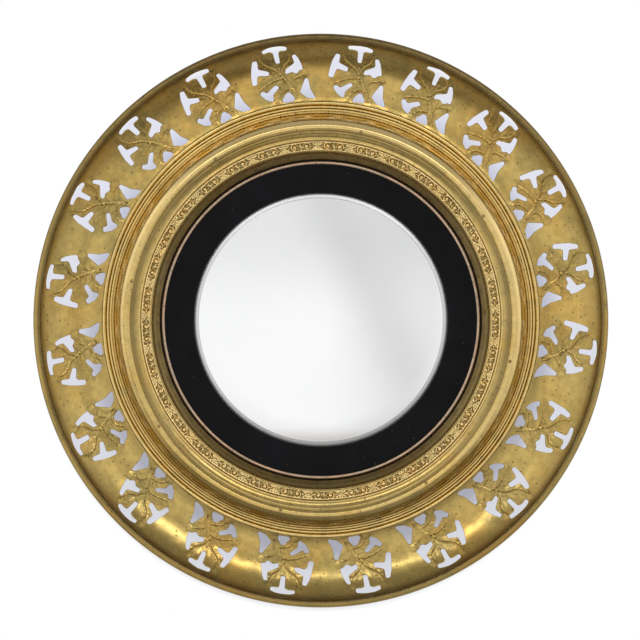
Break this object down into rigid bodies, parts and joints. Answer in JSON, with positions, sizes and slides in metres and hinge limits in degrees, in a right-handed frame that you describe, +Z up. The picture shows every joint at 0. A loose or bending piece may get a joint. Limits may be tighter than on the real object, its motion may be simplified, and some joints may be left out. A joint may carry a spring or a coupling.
{
  "type": "convex wall mirror",
  "caption": "Round convex butler's mirror with a pierced sheet-brass dish, a stepped brass moulding, an ebonised ring and a bulging bevelled glass, hung on a D-ring",
  "frame": {"origin": "on the mirror's axis, in the plane of the wall that it hangs on", "axes": "+Y into the wall, so the glass looks along -Y; +Z up; +X to the viewer's right"},
  "size_m": [0.5494, 0.0445, 0.5494],
  "materials": {
    "dish_brass": "aged, brushed in circles",
    "moulding_brass": "aged, dark in the recesses",
    "pin_brass": "dull",
    "slip_copper": "polished, pinkish",
    "ebonised_wood": "satin black",
    "silvered_glass": "bevelled and silvered",
    "carcass_pine": "bare, darkened with age",
    "back_board": "bare board",
    "packing_felt": "felt",
    "iron": "dull dark iron",
    "hanger_brass": "worn"
  },
  "bodies": {
    "mirror_body": {"pierced_dish": "dish_brass", "rim_wire": "iron", "stepped_moulding": "moulding_brass", "scroll_band": "moulding_brass", "slip_bead": "slip_copper", "ebonised_ring": "ebonised_wood", "mirror_glass": "silvered_glass", "carcass_ring": "carcass_pine", "glass_packing": "packing_felt", "backboard": "back_board", "brass_pin_1": "pin_brass", "brass_pin_2": "pin_brass", "brass_pin_3": "pin_brass", "brass_pin_4": "pin_brass", "brass_pin_5": "pin_brass", "brass_pin_6": "pin_brass", "brass_pin_7": "pin_brass", "brass_pin_8": "pin_brass", "backboard_screw_1": "iron", "backboard_screw_2": "iron", "backboard_screw_3": "iron", "backboard_screw_4": "iron", "backboard_screw_5": "iron", "backboard_screw_6": "iron", "strap_screw_1": "iron", "strap_screw_2": "iron", "hanger_strap": "hanger_brass"},
    "hanging_ring_body": {"hanging_ring": "hanger_brass"}
  },
  "joints": [
    {"name": "hanging_ring_swing", "type": "hinge", "parent": "mirror_body", "child": "hanging_ring_body", "pos_m": [0, -0.005, 0.1721], "axis": [1, 0, 0], "range_deg": [0, 180]}
  ]
}
